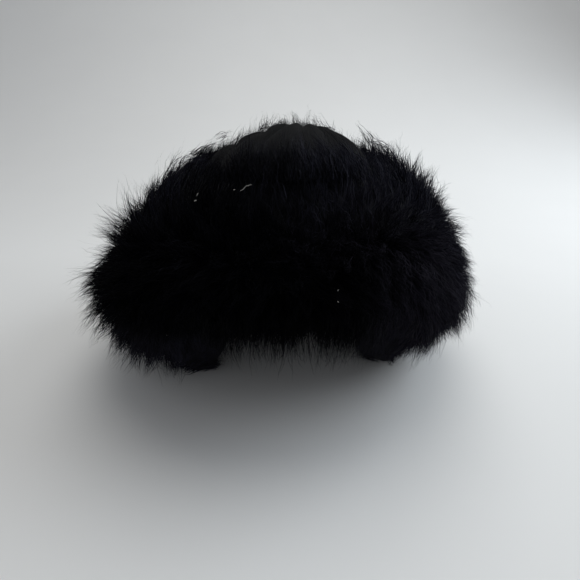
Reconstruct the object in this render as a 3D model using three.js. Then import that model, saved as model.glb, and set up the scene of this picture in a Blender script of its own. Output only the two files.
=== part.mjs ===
// A winter hat: a soft knitted cap inside a very deep cuff of long black fur that goes all the way round.
// Millimetres, +Z up, front towards -Y. It stands on the hair under its sides and back, with an arch over
// the brow in front, so z = 0 is the surface it rests on. The fur is fuller on one side: the shapes are
// worked out round the middle of the head opening, and then moved so that x = y = 0 is the middle of the
// hat's outline.
import * as THREE from "three";

// Head opening and the knitted cap
const HEAD_HALF_WIDTH = 79; // inside of the knit, for a head of about 56 cm
const HEAD_HALF_LENGTH = 97;
const KNIT = 4; // thickness of the knit in a groove
const RIB = 3.5; // how far a rib stands out from its grooves on the wall
const CROWN_RIB = 6; // and how far up from them on top of the crown
const CAP_SHOULDER = 150; // above this height the cap's wall turns in to the dome
const CAP_TOP = 217;
const DOME_ROUNDNESS = 2.1; // 2 is an ellipse, more is squarer
const CROWN_LEAN = 9; // how far the top leans over towards +X
const GATHER = { x: 11, y: 60 }; // where the ribs meet, off to one side and well behind the top
const HEM_ABOVE_RIM = 10; // the knit ends a little above the lowest hair
const HEM_RIB = 0.4; // how much of a rib's height is left at the hem
const CAP_COLUMNS = 70;
const DOME_RINGS = 8;

// Grooves between the cap's ribs, in degrees round from the front towards +X
const GROOVES = [
  { at: 28, deep: 0.6 },
  { at: 54, deep: 0.8 },
  { at: 78, deep: 0.7 },
  { at: 102, deep: 0.9 },
  { at: 127, deep: 0.8 },
  { at: 152, deep: 1.0 },
  { at: 177, deep: 0.8 },
  { at: 202, deep: 0.9 },
  { at: 227, deep: 1.0 },
  { at: 253, deep: 0.8 },
  { at: 278, deep: 1.0 },
  { at: 297, deep: 1.0 },
  { at: 330, deep: 0.9 },
  { at: 359, deep: 1.0 },
];

// Fur cuff
const CLEAR = 0.7; // between the ribs and the back of the fur
const CUFF_TOP = 191; // inner edge of the cuff against the dome
const CREST = 216; // tips of the fur above that edge
const BACK_RISE = 0.05; // slope of the cuff's top up towards the back
const FOOT_SHARE = 0.65; // flat underside of the hair that the hat rests on, of the thickness there
const LOCK_DEPTH = 24; // length of a lock above the dense hair
const LOCK_SAG = 0.04; // how far down the section a tip hangs from its root, as a share of it
const LOCK_WAIST = 0.62; // width left halfway along a lock
const LOCK_SPREAD = 3; // how far a tip strays from its place
const LOCK_SEED = 7;
const LOCK_LIFT = 1; // hair that would hang below the surface lies this far above it
const LOCKS_AROUND = 54;
const LOCK_ROWS = 10; // even, so that the last row lines up with the first
const FUR_CORE = { out: 42, height: 0.52 }; // middle of the dense hair's section
const BACK_RINGS = 6;

// Arch of the cuff over the brow
const ARCH_HEIGHT = 78;
const ARCH_MIDDLE = 5; // degrees round towards +X
const ARCH_FLAT = 26; // degrees each side of that at full height
const ARCH_END = 75; // degrees each side where it is down on the surface
const ARCH_RUN_OUT = 1.5; // above 1 its sides drop steeply and then run out low
const FRINGE = { hang: 12, share: 0.1 }; // how far it hangs below the arch, and how much of the section does

// Thickness of the fur outside the cap's wall, from its lower edge (height 0) to its crest (height 1)
const FUR_SECTIONS = [
  { height: 0.0, front: 26, cheekR: 14, earR: 30, right: 46, back: 52, left: 64, earL: 24, cheekL: 10 },
  { height: 0.1, front: 44, cheekR: 53, earR: 57, right: 70, back: 68, left: 84, earL: 68, cheekL: 38 },
  { height: 0.2, front: 61, cheekR: 70, earR: 71, right: 84, back: 79, left: 93, earL: 83, cheekL: 63 },
  { height: 0.3, front: 73, cheekR: 80, earR: 79, right: 89, back: 86, left: 99, earL: 91, cheekL: 77 },
  { height: 0.4, front: 80, cheekR: 85, earR: 82, right: 93, back: 89, left: 101, earL: 97, cheekL: 87 },
  { height: 0.5, front: 82, cheekR: 85, earR: 84, right: 85, back: 87, left: 91, earL: 96, cheekL: 90 },
  { height: 0.6, front: 78, cheekR: 79, earR: 79, right: 75, back: 80, left: 84, earL: 90, cheekL: 88 },
  { height: 0.7, front: 69, cheekR: 68, earR: 70, right: 66, back: 66, left: 60, earL: 70, cheekL: 78 },
  { height: 0.8, front: 54, cheekR: 52, earR: 51, right: 46, back: 44, left: 29, earL: 44, cheekL: 58 },
  { height: 0.9, front: 30, cheekR: 27, earR: 21, right: 19, back: 17, left: 4, earL: 15, cheekL: 28 },
  { height: 1.0, front: -10, cheekR: -8, earR: -8, right: -8, back: -10, left: -14, earL: -12, cheekL: -8 },
];

// Where those columns stand, in degrees round from the front towards +X
const FUR_PLACES = [
  { at: 0, column: "front" },
  { at: 45, column: "cheekR" },
  { at: 67, column: "earR" },
  { at: 90, column: "right" },
  { at: 180, column: "back" },
  { at: 270, column: "left" },
  { at: 293, column: "earL" },
  { at: 315, column: "cheekL" },
  { at: 360, column: "front" },
];

const TURN = Math.PI * 2;
const { clamp, degToRad, euclideanModulo, lerp, radToDeg, seededRandom, smoothstep } = THREE.MathUtils;

// Point on an oval round the head, at a turn from the front towards +X
function onOval(turn, sideReach, endReach, z) {
  return new THREE.Vector3(Math.sin(turn) * sideReach, -Math.cos(turn) * endReach, z);
}

// Height of the cuff's lower edge: an arch in front, and the surface everywhere else
function rimHeight(turn) {
  const round = turn - degToRad(ARCH_MIDDLE);
  const fromMiddle = Math.abs(radToDeg(Math.atan2(Math.sin(round), Math.cos(round))));
  return ARCH_HEIGHT * (1 - smoothstep(fromMiddle, ARCH_FLAT, ARCH_END)) ** ARCH_RUN_OUT;
}

// Height on a rounded dome from the share of the head oval that is left there, 1 at the shoulder
function domeHeight(share, top) {
  return CAP_SHOULDER + (top - CAP_SHOULDER) * (1 - share ** DOME_ROUNDNESS) ** (1 / DOME_ROUNDNESS);
}

function domeShare(z, top) {
  const rise = Math.max(0, (z - CAP_SHOULDER) / (top - CAP_SHOULDER));
  return (1 - rise ** DOME_ROUNDNESS) ** (1 / DOME_ROUNDNESS);
}

// Point on the dome some way out from the head, with a rib's height. It is on the line that each rib
// follows in plan: from the shoulder, where the share is 1, to the gather, where it is 0
function domePoint(turn, thickness, rib, share, top) {
  const side = HEAD_HALF_WIDTH + thickness + rib;
  const end = HEAD_HALF_LENGTH + thickness + rib;
  const point = onOval(turn, side, end, 0).multiplyScalar(share);
  point.x += GATHER.x * (1 - share);
  point.y += GATHER.y * (1 - share);
  const fromMiddle = Math.min(1, Math.hypot(point.x / side, point.y / end));
  point.x += CROWN_LEAN * (1 - fromMiddle);
  point.z = domeHeight(fromMiddle, top) + ((rib * CROWN_RIB) / RIB) * Math.sqrt(1 - fromMiddle ** 2);
  return point;
}

// 0 in a groove and up to 1 on a rib
function ribAt(turn) {
  const angle = euclideanModulo(radToDeg(turn), 360);
  const next = GROOVES.findIndex((groove) => groove.at > angle);
  const after = GROOVES[Math.max(next, 0)];
  const before = GROOVES.at(Math.max(next, 0) - 1);
  const width = euclideanModulo(after.at - before.at, 360);
  const share = euclideanModulo(angle - before.at, 360) / width;
  const deep = lerp(before.deep, after.deep, share);
  return 1 - deep * (1 - Math.sqrt(Math.sin(Math.PI * share)));
}

// Skin from each ring of points to the next, facing out where the rings go up
function skin(rings) {
  return rings.slice(1).flatMap((upper, k) =>
    upper.flatMap((_, i) => {
      const lower = rings[k];
      const j = (i + 1) % upper.length;
      return [
        [lower[i], lower[j], upper[j]],
        [lower[i], upper[j], upper[i]],
      ];
    }),
  );
}

function lidOn(ring, top) {
  return ring.map((point, i) => [point, ring[(i + 1) % ring.length], top]);
}

function turnedInside(triangles) {
  return triangles.map(([a, b, c]) => [a, c, b]);
}

function meshOf(name, triangles, color, roughness) {
  const corners = triangles.flat().flatMap((point) => point.toArray());
  const geometry = new THREE.BufferGeometry();
  geometry.setAttribute("position", new THREE.Float32BufferAttribute(corners, 3));
  geometry.computeVertexNormals();
  const mesh = new THREE.Mesh(geometry, new THREE.MeshStandardMaterial({ color, roughness, metalness: 0 }));
  mesh.name = name;
  return mesh;
}

// Knitted cap: a hollow dome with ribs that run up the wall and meet off-centre on top
function knitCap() {
  const turns = Array.from({ length: CAP_COLUMNS }, (_, i) => (i / CAP_COLUMNS) * TURN);
  const wall = (thickness, ribbing, heightAt) =>
    turns.map((turn) => {
      const out = thickness + ribbing * RIB * ribAt(turn);
      return onOval(turn, HEAD_HALF_WIDTH + out, HEAD_HALF_LENGTH + out, heightAt(turn));
    });
  const dome = (share, thickness, ribbing, top) =>
    turns.map((turn) => domePoint(turn, thickness, ribbing * RIB * ribAt(turn), share, top));
  const hem = (turn) => rimHeight(turn) + HEM_ABOVE_RIM;
  const halfway = (turn) => (hem(turn) + CAP_SHOULDER) / 2;
  const shoulder = () => CAP_SHOULDER;
  const climb = TURN / 4 / (DOME_RINGS + 1);
  const shares = Array.from({ length: DOME_RINGS }, (_, k) => Math.cos((k + 1) * climb));
  const everyOther = shares.filter((_, k) => k % 2);
  const lining = CAP_TOP - KNIT;

  const outside = [
    wall(KNIT, HEM_RIB, hem),
    wall(KNIT, 1, halfway),
    wall(KNIT, 1, shoulder),
    ...shares.map((share) => dome(share, KNIT, 1, CAP_TOP)),
  ];
  const inside = [
    wall(0, 0, hem),
    wall(0, 0, shoulder),
    ...everyOther.map((share) => dome(share, 0, 0, lining)),
  ];
  return [
    ...skin(outside),
    ...lidOn(outside.at(-1), domePoint(0, KNIT, 0, 0, CAP_TOP)),
    ...turnedInside(skin(inside)),
    ...turnedInside(lidOn(inside.at(-1), domePoint(0, 0, 0, 0, lining))),
    ...skin([inside[0], outside[0]]),
  ];
}

// Back of the fur, a little clear of the knit's ribs
function furBack(turn, z) {
  const out = KNIT + RIB + CLEAR;
  const share = domeShare(z, CAP_TOP + CROWN_RIB);
  const point = onOval(turn, (HEAD_HALF_WIDTH + out) * share, (HEAD_HALF_LENGTH + out) * share, z);
  point.x += CROWN_LEAN * (1 - share);
  return point;
}

// Point in the fur's section, at a thickness out from the cap's wall and a height between rim and crest
function furPoint(turn, out, height) {
  const point = onOval(turn, HEAD_HALF_WIDTH + KNIT + RIB + out, HEAD_HALF_LENGTH + KNIT + RIB + out, 0);
  point.z = lerp(rimHeight(turn), CREST + BACK_RISE * point.y, height);
  return point;
}

function furThickness(turn, section) {
  const angle = euclideanModulo(radToDeg(turn), 360);
  const next = FUR_PLACES.findIndex((place) => place.at > angle);
  const before = FUR_PLACES[next - 1];
  const after = FUR_PLACES[next];
  return lerp(section[before.column], section[after.column], smoothstep(angle, before.at, after.at));
}

// Line of the fur's tips over its section at one turn, from the lower edge up and over to the dome
function tipLine(turn) {
  const points = FUR_SECTIONS.map((section) => furPoint(turn, furThickness(turn, section), section.height));
  return new THREE.CatmullRomCurve3(points, false, "centripetal");
}

// Fur cuff: dense hair with a lattice of tapering locks over the whole outside, fused in one skin
function furCuff() {
  // Places on the lattice are counted in half locks round and in rows up
  const halves = LOCKS_AROUND * 2;
  const turnAt = (half) => (half / halves) * TURN;
  const lines = Array.from({ length: halves }, (_, half) => tipLine(turnAt(half)));
  const lineAt = (half) => lines[euclideanModulo(half, halves)];
  const topHeight = (turn) => CUFF_TOP + BACK_RISE * furBack(turn, CUFF_TOP).y;

  const rootAt = (half, row) => {
    const turn = turnAt(half);
    if (row === 0) return furPoint(turn, FOOT_SHARE * furThickness(turn, FUR_SECTIONS[0]), 0);
    if (row === LOCK_ROWS) return furBack(turn, topHeight(turn));
    const tip = lineAt(half).getPointAt(row / LOCK_ROWS);
    const core = furPoint(turn, FUR_CORE.out, FUR_CORE.height);
    return tip.addScaledVector(core.sub(tip).normalize(), LOCK_DEPTH);
  };
  const tipAt = (half, row) => {
    const along = row / LOCK_ROWS - LOCK_SAG;
    const tip = lineAt(half).getPointAt(clamp(along, 0, 1));
    const low = 1 - smoothstep(along, 0, FRINGE.share);
    tip.z -= FRINGE.hang * low * (rimHeight(turnAt(half)) / ARCH_HEIGHT);
    return tip;
  };

  const roots = Array.from({ length: LOCK_ROWS + 1 }, (_, row) =>
    Array.from({ length: LOCKS_AROUND }, (_, i) => rootAt(i * 2 + row, row)),
  );
  const triangles = [];
  seededRandom(LOCK_SEED);
  const stray = () => (seededRandom() * 2 - 1) * LOCK_SPREAD;
  for (let row = 0; row < LOCK_ROWS; row++)
    for (let i = 0; i < LOCKS_AROUND; i++) {
      const j = (i + 1) % LOCKS_AROUND;
      const corners = [roots[row][i], roots[row][j], roots[row + 1][j], roots[row + 1][i]];
      const root = corners.reduce((sum, corner) => sum.add(corner), new THREE.Vector3()).divideScalar(4);
      const tip = tipAt(i * 2 + row + 1, row + 0.5).add(new THREE.Vector3(stray(), stray(), stray()));
      const middle = root.clone().lerp(tip, 0.5);
      const waist = corners.map((corner) => corner.clone().sub(root).multiplyScalar(LOCK_WAIST).add(middle));
      for (const point of [tip, ...waist]) point.z = Math.max(point.z, LOCK_LIFT);
      triangles.push(...skin([corners, waist]), ...lidOn(waist, tip));
    }

  // Flat underside, the back of the fur up to the dome, and over to the last row of locks
  const turns = Array.from({ length: LOCKS_AROUND }, (_, i) => turnAt(i * 2));
  const foot = turns.map((turn) => furBack(turn, rimHeight(turn)));
  const backs = Array.from({ length: BACK_RINGS }, (_, k) =>
    turns.map((turn) => furBack(turn, lerp(CAP_SHOULDER, topHeight(turn), k / BACK_RINGS))),
  );
  const top = turns.map((_, i) => roots[LOCK_ROWS].at((i - LOCK_ROWS / 2) % LOCKS_AROUND));
  triangles.push(...turnedInside(skin([roots[0], foot, ...backs, top])));
  return triangles;
}

const hat = new THREE.Group();
hat.add(meshOf("knit_cap", knitCap(), 0x17171a, 0.95));
hat.add(meshOf("fur_cuff", furCuff(), 0x0b0b0d, 0.8));
const middle = new THREE.Box3().setFromObject(hat).getCenter(new THREE.Vector3());
hat.position.set(-middle.x, -middle.y, 0);

export default hat;
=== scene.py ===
import math
import bpy
import numpy as np
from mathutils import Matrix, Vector


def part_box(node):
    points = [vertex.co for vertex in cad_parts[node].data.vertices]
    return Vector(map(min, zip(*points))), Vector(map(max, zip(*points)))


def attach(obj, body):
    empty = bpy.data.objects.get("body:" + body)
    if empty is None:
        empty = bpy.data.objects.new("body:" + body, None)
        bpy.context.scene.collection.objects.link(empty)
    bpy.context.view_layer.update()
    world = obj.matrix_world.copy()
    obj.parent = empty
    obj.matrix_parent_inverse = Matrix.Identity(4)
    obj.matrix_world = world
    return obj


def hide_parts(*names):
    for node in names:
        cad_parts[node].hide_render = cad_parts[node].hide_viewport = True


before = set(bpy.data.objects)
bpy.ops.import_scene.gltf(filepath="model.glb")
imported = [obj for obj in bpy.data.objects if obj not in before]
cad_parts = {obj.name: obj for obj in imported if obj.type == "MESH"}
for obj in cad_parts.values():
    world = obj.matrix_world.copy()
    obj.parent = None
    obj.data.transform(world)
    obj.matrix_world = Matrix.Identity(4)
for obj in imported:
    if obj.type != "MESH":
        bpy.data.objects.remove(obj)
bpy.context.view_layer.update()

# The knitted cap is a soft dome of fine black wool in wide ribs, which run back over the top to a gather.
# It is about 4 mm thick between its ribs, and its hem is sewn inside the cuff, with an arch in front.
# Sizes are in millimetres, a material's in metres, and turns in degrees from the front to the wearer's left.
MM = 0.001
OPENING_HALF = (79, 97)
KNIT = 4
RIB = 3.5
CROWN_RIB = 6
RIB_AT_HEM = 0.4
FULL_RIB_FROM = 0.4
CAP_SHOULDER = 150
CAP_TOP = 217
DOME_ROUNDNESS = 2.1
CROWN_LEAN = 9
GATHER = (11, 60)
HEM_ABOVE_RIM = 10
HEM_ROLL = {"steps": 7, "deep": 1.2}
ARCH = {"height": 78, "middle": 5, "flat": 26, "end": 75, "run_out": 1.5}
RIB_GROOVES = [
    {"at": 28, "deep": 0.6}, {"at": 54, "deep": 0.8}, {"at": 78, "deep": 0.7}, {"at": 102, "deep": 0.9},
    {"at": 127, "deep": 0.8}, {"at": 152, "deep": 1.0}, {"at": 177, "deep": 0.8}, {"at": 202, "deep": 0.9},
    {"at": 227, "deep": 1.0}, {"at": 253, "deep": 0.9}, {"at": 278, "deep": 1.2}, {"at": 300, "deep": 1.25},
    {"at": 330, "deep": 1.1}, {"at": 359, "deep": 0.5},
]
GROOVE_ROUNDNESS = 1.1
CROWN_FOLDS = [
    {"x": -48, "wide": 5, "deep": 0.8},
    {"x": -34, "wide": 16, "deep": 0.45},
    {"x": -21, "wide": 4.5, "deep": 0.55},
]
FULL_FOLD_FROM = 0.3
PUCKER = {"deep": 3.0, "across": 9.0}
CAP_COLUMNS = 392
WALL_RINGS = 14
DOME_RINGS = 60
LINING_RINGS = 14
WALES = 140
COURSE = 3.0
STITCH = {"slant": 1.3, "loop": 0.6, "leg": 0.5, "fuzz": 0.35, "fuzz_noise": (1400, 4)}
WOOL_BLACK = (0.0031, 0.0031, 0.0034)
# The wool's shades: darker for the painted shade in its stitch gaps and rib grooves, and paler where it is
# worn.
WOOL_SHADES = {"painted_shade": 0.45, "light": 1.5, "gap": 0.6, "groove": 0.7}
WOOL_WEAR = {"noise": (45, 3), "share": (0.35, 0.7, 0, 1), "roughness": (0, 1, 0.85, 0.98)}
WOOL_FINISH = {"Specular IOR Level": 0.06, "Sheen Weight": 0.01, "Sheen Roughness": 0.5}
WOOL_BUMP = {"strength": 0.8, "distance": 0.0009}


def smooth_step(x, low, high):
    t = np.clip((x - low) / (high - low), 0, 1)
    return t * t * (3 - 2 * t)


def rim_height(turn):
    """How high the hat's lower rim is: 0 where the hat stands, and arched up in front."""
    round_arch = turn - math.radians(ARCH["middle"])
    from_middle = np.degrees(np.abs(np.arctan2(np.sin(round_arch), np.cos(round_arch))))
    return ARCH["height"] * (1 - smooth_step(from_middle, ARCH["flat"], ARCH["end"])) ** ARCH["run_out"]


def dome_height(share, top):
    rise = (1 - share**DOME_ROUNDNESS) ** (1 / DOME_ROUNDNESS)
    return CAP_SHOULDER + (top - CAP_SHOULDER) * rise


def dome_share(z, top):
    rise = np.clip((z - CAP_SHOULDER) / (top - CAP_SHOULDER), 0, 1)
    return (1 - rise**DOME_ROUNDNESS) ** (1 / DOME_ROUNDNESS)


def wall_point(turn, out, z):
    x = np.sin(turn) * (OPENING_HALF[0] + out)
    y = -np.cos(turn) * (OPENING_HALF[1] + out)
    return np.stack(np.broadcast_arrays(x, y, z), axis=-1)


def dome_point(turn, thickness, rib, share, top):
    """Where the cap's dome is, on a rib's way from the shoulder (share 1) to the gather (share 0)."""
    side, end = OPENING_HALF[0] + thickness + rib, OPENING_HALF[1] + thickness + rib
    x = np.sin(turn) * side * share + GATHER[0] * (1 - share)
    y = -np.cos(turn) * end * share + GATHER[1] * (1 - share)
    from_middle = np.minimum(1, np.hypot(x / side, y / end))
    z = dome_height(from_middle, top) + rib * CROWN_RIB / RIB * np.sqrt(1 - from_middle**2)
    return np.stack(np.broadcast_arrays(x + CROWN_LEAN * (1 - from_middle), y, z), axis=-1)


def rib_at(turn):
    """1 on the back of a rib, and less by its depth in the groove beside it."""
    angle = np.degrees(turn) % 360
    at = np.array([groove["at"] for groove in RIB_GROOVES])
    deep = np.array([groove["deep"] for groove in RIB_GROOVES])
    after = np.searchsorted(at, angle, side="right") % len(at)
    before = after - 1
    share = ((angle - at[before]) % 360) / ((at[after] - at[before]) % 360)
    depth = deep[before] + (deep[after] - deep[before]) * share
    return 1 - depth * (1 - np.sin(np.pi * share) ** GROOVE_ROUNDNESS)


def in_frame(points):
    """Points round the hat's opening, in millimetres, to the frame that all the pieces share."""
    return np.asarray(points) * MM + np.array([OPENING_MIDDLE.x, OPENING_MIDDLE.y, 0])


def piece_from(name, points, quads, triangles=()):
    """A smooth object from arrays of points in the frame, and of the corners of its faces."""
    quads = np.asarray(quads, int).reshape(-1, 4)
    triangles = np.asarray(triangles, int).reshape(-1, 3)
    mesh = bpy.data.meshes.new(name)
    mesh.vertices.add(len(points))
    mesh.vertices.foreach_set("co", np.asarray(points, np.float32).ravel())
    corners = np.concatenate([quads.ravel(), triangles.ravel()])
    sides = np.concatenate([np.full(len(quads), 4), np.full(len(triangles), 3)])
    mesh.loops.add(len(corners))
    mesh.loops.foreach_set("vertex_index", corners.astype(np.int32))
    mesh.polygons.add(len(sides))
    mesh.polygons.foreach_set("loop_start", (np.cumsum(sides) - sides).astype(np.int32))
    mesh.polygons.foreach_set("use_smooth", np.full(len(sides), True))
    mesh.update(calc_edges=True)
    mesh.validate()
    piece = bpy.data.objects.new(name, mesh)
    bpy.context.scene.collection.objects.link(piece)
    return piece


def give_numbers(piece, name, values):
    """A number at each point of a mesh, for its material to read."""
    layer = piece.data.attributes.new(name, "FLOAT", "POINT")
    layer.data.foreach_set("value", np.asarray(values, np.float32).ravel())


def quads_between(rows, columns, around=True):
    """Faces of a grid of points, whose rows are rings where it goes all the way round."""
    i = np.arange(columns if around else columns - 1)
    j = (i + 1) % columns
    row = np.arange(rows - 1)[:, None] * columns
    return np.stack([row + i, row + j, row + columns + j, row + columns + i], axis=-1).reshape(-1, 4)


def cap_rings():
    """The rings of the cap's skin, from inside the dome down to the hem, and up outside to the gather."""
    turn = np.linspace(0, 2 * math.pi, CAP_COLUMNS, endpoint=False)
    rib = RIB * rib_at(turn)
    hem = rim_height(turn) + HEM_ABOVE_RIM
    rings = []
    for angle in np.linspace(0, math.pi / 2, LINING_RINGS + 1)[-2:0:-1]:
        rings.append(dome_point(turn, 0, 0, math.cos(angle), CAP_TOP - KNIT))
    for down in np.linspace(0, 1, WALL_RINGS):
        rings.append(wall_point(turn, 0, CAP_SHOULDER + (hem - CAP_SHOULDER) * down))
    for roll in np.linspace(0, math.pi, HEM_ROLL["steps"])[1:-1]:
        out = (KNIT + RIB_AT_HEM * rib) * (1 - math.cos(roll)) / 2
        rings.append(wall_point(turn, out, hem - HEM_ROLL["deep"] * math.sin(roll)))
    for up in np.linspace(0, 1, WALL_RINGS):
        ribbing = RIB_AT_HEM + (1 - RIB_AT_HEM) * smooth_step(up, 0, FULL_RIB_FROM)
        rings.append(wall_point(turn, KNIT + rib * ribbing, hem + (CAP_SHOULDER - hem) * up))
    for angle in np.linspace(0, math.pi / 2, DOME_RINGS + 1)[1:-1]:
        share, up = math.cos(angle), math.sin(angle)
        x = dome_point(turn, KNIT, rib, share, CAP_TOP)[:, 0]
        folds = sum(fold["deep"] * np.exp(-(((x - fold["x"]) / fold["wide"]) ** 2)) for fold in CROWN_FOLDS)
        folded = rib * (1 - folds * smooth_step(up, 0, FULL_FOLD_FROM))
        ring = dome_point(turn, KNIT, folded, share, CAP_TOP)
        from_gather = share * (OPENING_HALF[0] + OPENING_HALF[1]) / 2
        ring[:, 2] -= PUCKER["deep"] * math.exp(-((from_gather / PUCKER["across"]) ** 2))
        rings.append(ring)
    return turn, np.array(rings)


turn, rings = cap_rings()
cap_low, cap_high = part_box("knit_cap")
own_middle = (rings.reshape(-1, 3).min(axis=0) + rings.reshape(-1, 3).max(axis=0)) / 2 * MM
OPENING_MIDDLE = (cap_low + cap_high) / 2 - Vector(own_middle)
rows = len(rings)
lid_middles = rings[[0, -1]].mean(axis=1)
cap_points = np.concatenate([rings.reshape(-1, 3), lid_middles])
column = np.arange(CAP_COLUMNS)
beside = (column + 1) % CAP_COLUMNS
lining_lid = np.stack([beside, column, np.full(CAP_COLUMNS, rows * CAP_COLUMNS)], axis=-1)
last = (rows - 1) * CAP_COLUMNS
top_lid = np.stack([last + column, last + beside, np.full(CAP_COLUMNS, rows * CAP_COLUMNS + 1)], axis=-1)
cap_faces = quads_between(rows, CAP_COLUMNS)
cap_lids = np.concatenate([lining_lid, top_lid])
knitted_cap = piece_from("knitted_cap", in_frame(cap_points), cap_faces, cap_lids)
steps = np.linalg.norm(np.diff(rings, axis=0), axis=-1)
courses = np.concatenate([np.zeros((1, CAP_COLUMNS)), np.cumsum(steps, axis=0)]) / COURSE
give_numbers(knitted_cap, "course", np.concatenate([courses.ravel(), [0, courses[-1].mean()]]))
round_the_cap = {"wale_x": np.cos(turn), "wale_y": np.sin(turn), "groove": 1 - rib_at(turn)}
for label, numbers in round_the_cap.items():
    give_numbers(knitted_cap, label, np.concatenate([np.tile(numbers, rows), [0, 0]]))


def new_group(name, inputs, outputs):
    group = bpy.data.node_groups.new(name, "ShaderNodeTree")
    for label, kind, value in inputs:
        socket = group.interface.new_socket(label, in_out="INPUT", socket_type=kind)
        socket.default_value = value
    for label, kind in outputs:
        group.interface.new_socket(label, in_out="OUTPUT", socket_type=kind)
    return group, group.nodes.new("NodeGroupInput"), group.nodes.new("NodeGroupOutput")


def new_material(name):
    material = bpy.data.materials.new(name)
    material.use_nodes = True
    return material, material.node_tree, material.node_tree.nodes["Principled BSDF"]


def set_finish(shader, finish):
    for socket, value in finish.items():
        shader.inputs[socket].default_value = value


def math_node(tree, operation, *values):
    """A Math node whose inputs are the values given, each a number or another node's output."""
    node = tree.nodes.new("ShaderNodeMath")
    node.operation = operation
    for socket, value in zip(node.inputs, values):
        if isinstance(value, bpy.types.NodeSocket):
            tree.links.new(value, socket)
        else:
            socket.default_value = value
    return node.outputs[0]


def number_from(tree, name):
    node = tree.nodes.new("ShaderNodeAttribute")
    node.attribute_name = name
    return node.outputs["Fac"]


def noise_node(tree, scale, detail):
    """Noise over the piece's own coordinates, in features per metre."""
    node = tree.nodes.new("ShaderNodeTexNoise")
    node.inputs["Scale"].default_value = scale
    node.inputs["Detail"].default_value = detail
    tree.links.new(tree.nodes.new("ShaderNodeTexCoord").outputs["Object"], node.inputs["Vector"])
    return node.outputs["Fac"]


def blend_colours(tree, share, first, second):
    """A colour that goes from the first to the second as the share goes from 0 to 1."""
    node = tree.nodes.new("ShaderNodeMix")
    node.data_type = "RGBA"
    tree.links.new(share, node.inputs["Factor"])
    for socket, value in ((node.inputs[6], first), (node.inputs[7], second)):
        if isinstance(value, bpy.types.NodeSocket):
            tree.links.new(value, socket)
        else:
            socket.default_value = (*value, 1)
    return node.outputs[2]


def ranged(tree, value, low, high, to_low, to_high):
    node = tree.nodes.new("ShaderNodeMapRange")
    for socket, number in zip(list(node.inputs)[1:5], (low, high, to_low, to_high)):
        socket.default_value = number
    tree.links.new(value, node.inputs[0])
    return node.outputs[0]


def add_bump(tree, shader, height, strength, distance):
    bump = tree.nodes.new("ShaderNodeBump")
    bump.inputs["Strength"].default_value = strength
    bump.inputs["Distance"].default_value = distance
    tree.links.new(height, bump.inputs["Height"])
    tree.links.new(bump.outputs["Normal"], shader.inputs["Normal"])


def knit_stitch_group():
    """Rows of V stitches from a wale number and a course number, with some fuzz over them."""
    group, given, result = new_group(
        "knit_stitch",
        [
            ("Wale", "NodeSocketFloat", 0.0),
            ("Course", "NodeSocketFloat", 0.0),
            ("Fuzz", "NodeSocketFloat", 0.3),
        ],
        [("Height", "NodeSocketFloat"), ("Gap", "NodeSocketFloat")],
    )
    across = math_node(group, "FRACT", given.outputs["Wale"])
    from_middle = math_node(group, "ABSOLUTE", math_node(group, "SUBTRACT", across, 0.5))
    slant = math_node(group, "MULTIPLY", from_middle, STITCH["slant"])
    along = math_node(group, "FRACT", math_node(group, "ADD", given.outputs["Course"], slant))
    loop = math_node(group, "SINE", math_node(group, "MULTIPLY", along, math.pi))
    leg = math_node(group, "SINE", math_node(group, "MULTIPLY", from_middle, 2 * math.pi))
    loop = math_node(group, "POWER", loop, STITCH["loop"])
    leg = math_node(group, "POWER", leg, STITCH["leg"])
    yarn = math_node(group, "MULTIPLY", loop, leg)
    fuzz = math_node(group, "MULTIPLY", noise_node(group, *STITCH["fuzz_noise"]), given.outputs["Fuzz"])
    group.links.new(math_node(group, "ADD", yarn, fuzz), result.inputs["Height"])
    group.links.new(math_node(group, "SUBTRACT", 1.0, yarn), result.inputs["Gap"])
    return group


def black_wool():
    material, tree, shader = new_material("black_wool_knit")
    stitch = tree.nodes.new("ShaderNodeGroup")
    stitch.node_tree = knit_stitch_group()
    stitch.inputs["Fuzz"].default_value = STITCH["fuzz"]
    angle = math_node(tree, "ARCTAN2", number_from(tree, "wale_y"), number_from(tree, "wale_x"))
    wale = math_node(tree, "MULTIPLY", angle, WALES / (2 * math.pi))
    tree.links.new(wale, stitch.inputs["Wale"])
    tree.links.new(number_from(tree, "course"), stitch.inputs["Course"])
    worn = ranged(tree, noise_node(tree, *WOOL_WEAR["noise"]), *WOOL_WEAR["share"])
    painted_shade = tuple(WOOL_SHADES["painted_shade"] * c for c in WOOL_BLACK)
    light = tuple(WOOL_SHADES["light"] * c for c in WOOL_BLACK)
    cloth = blend_colours(tree, worn, WOOL_BLACK, light)
    # Painted shade: the wool is painted darker in the gaps between its stitches and in the grooves between
    # its ribs, where shade falls.
    painted_shade_in_gaps = math_node(tree, "MULTIPLY", stitch.outputs["Gap"], WOOL_SHADES["gap"])
    painted_shade_in_grooves = math_node(tree, "MULTIPLY", number_from(tree, "groove"), WOOL_SHADES["groove"])
    deep = math_node(tree, "MAXIMUM", painted_shade_in_gaps, painted_shade_in_grooves)
    tree.links.new(blend_colours(tree, deep, cloth, painted_shade), shader.inputs["Base Color"])
    tree.links.new(ranged(tree, worn, *WOOL_WEAR["roughness"]), shader.inputs["Roughness"])
    set_finish(shader, WOOL_FINISH)
    add_bump(tree, shader, stitch.outputs["Height"], **WOOL_BUMP)
    return material


knitted_cap.data.materials.append(black_wool())
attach(knitted_cap, "root")
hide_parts("knit_cap")

# The cuff's dense underfur, on the skin that is sewn round the cap. It is a thick ring of short dull hair,
# open underneath at the arch in front, and pressed flat where the hat stands on it.
CLEAR = 0.7
CUFF_TOP = 191
CREST = 216
BACK_RISE = 0.05
FOOT_SHARE = 0.65
FUR_CORE = {"out": 42, "height": 0.52}
FUR_PLACES = (0, 45, 67, 90, 180, 270, 293, 315, 360)
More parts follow.
